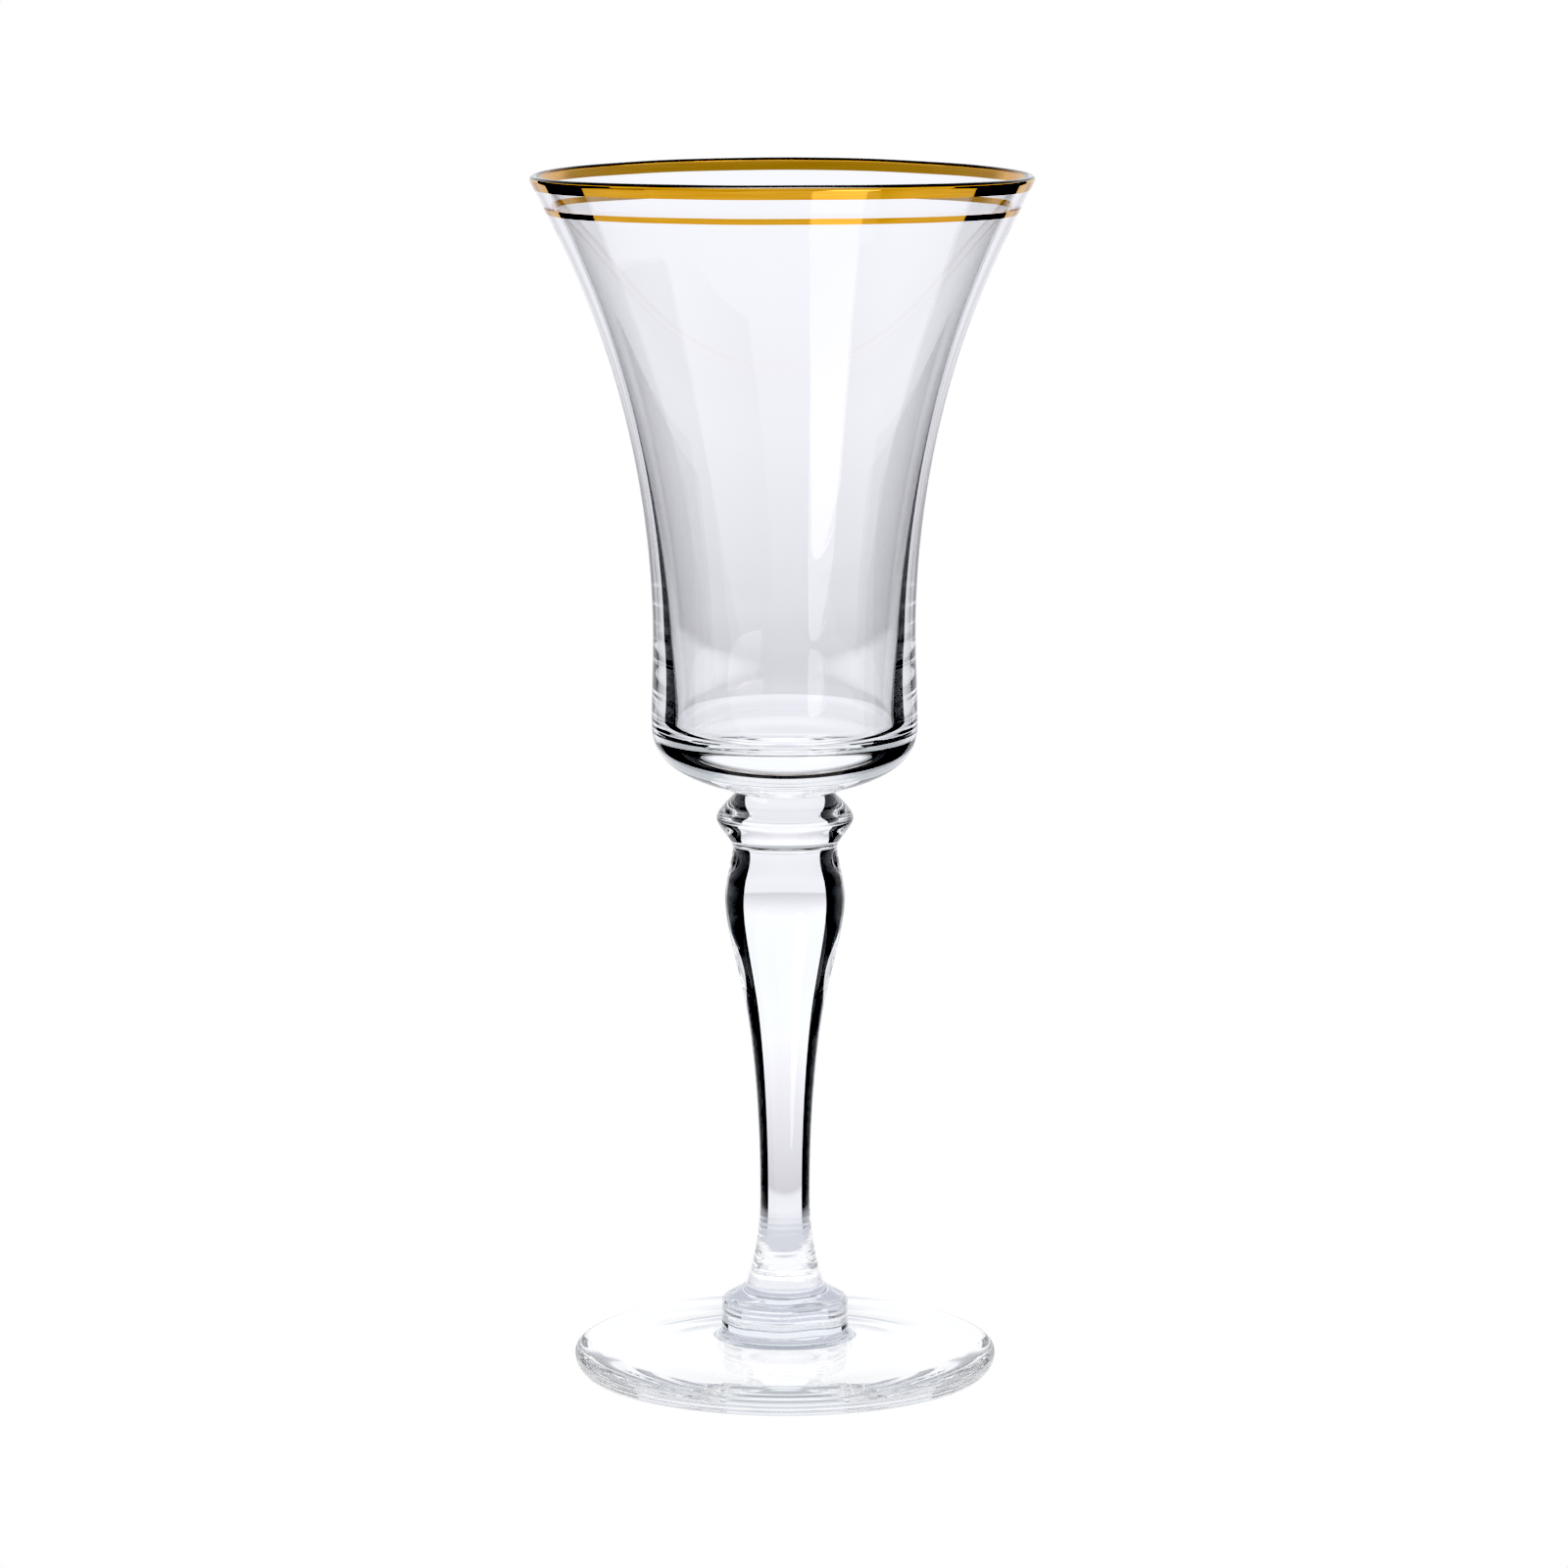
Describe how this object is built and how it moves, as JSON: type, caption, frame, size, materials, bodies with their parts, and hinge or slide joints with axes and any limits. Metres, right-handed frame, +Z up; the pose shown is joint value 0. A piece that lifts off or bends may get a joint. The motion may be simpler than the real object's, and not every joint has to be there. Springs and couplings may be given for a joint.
{
  "type": "champagne flute",
  "caption": "Clear glass flute with a flared trumpet bowl, knopped baluster stem, round foot and gilded rim.",
  "frame": {"origin": "centre of the foot's resting plane", "axes": "+Z up along the glass's axis, from the foot to the lip; +Y to the back, +X to the right"},
  "size_m": [0.0821, 0.0822, 0.199],
  "materials": {
    "clear_glass": "fire-polished clear crystal",
    "gilding": "burnished bright gold"
  },
  "bodies": {
    "root": {"foot": "clear_glass", "foot_collar": "clear_glass", "stem": "clear_glass", "bowl_knop": "clear_glass", "bowl": "clear_glass", "rim_gilding": "gilding", "gold_line": "gilding"}
  },
  "joints": []
}
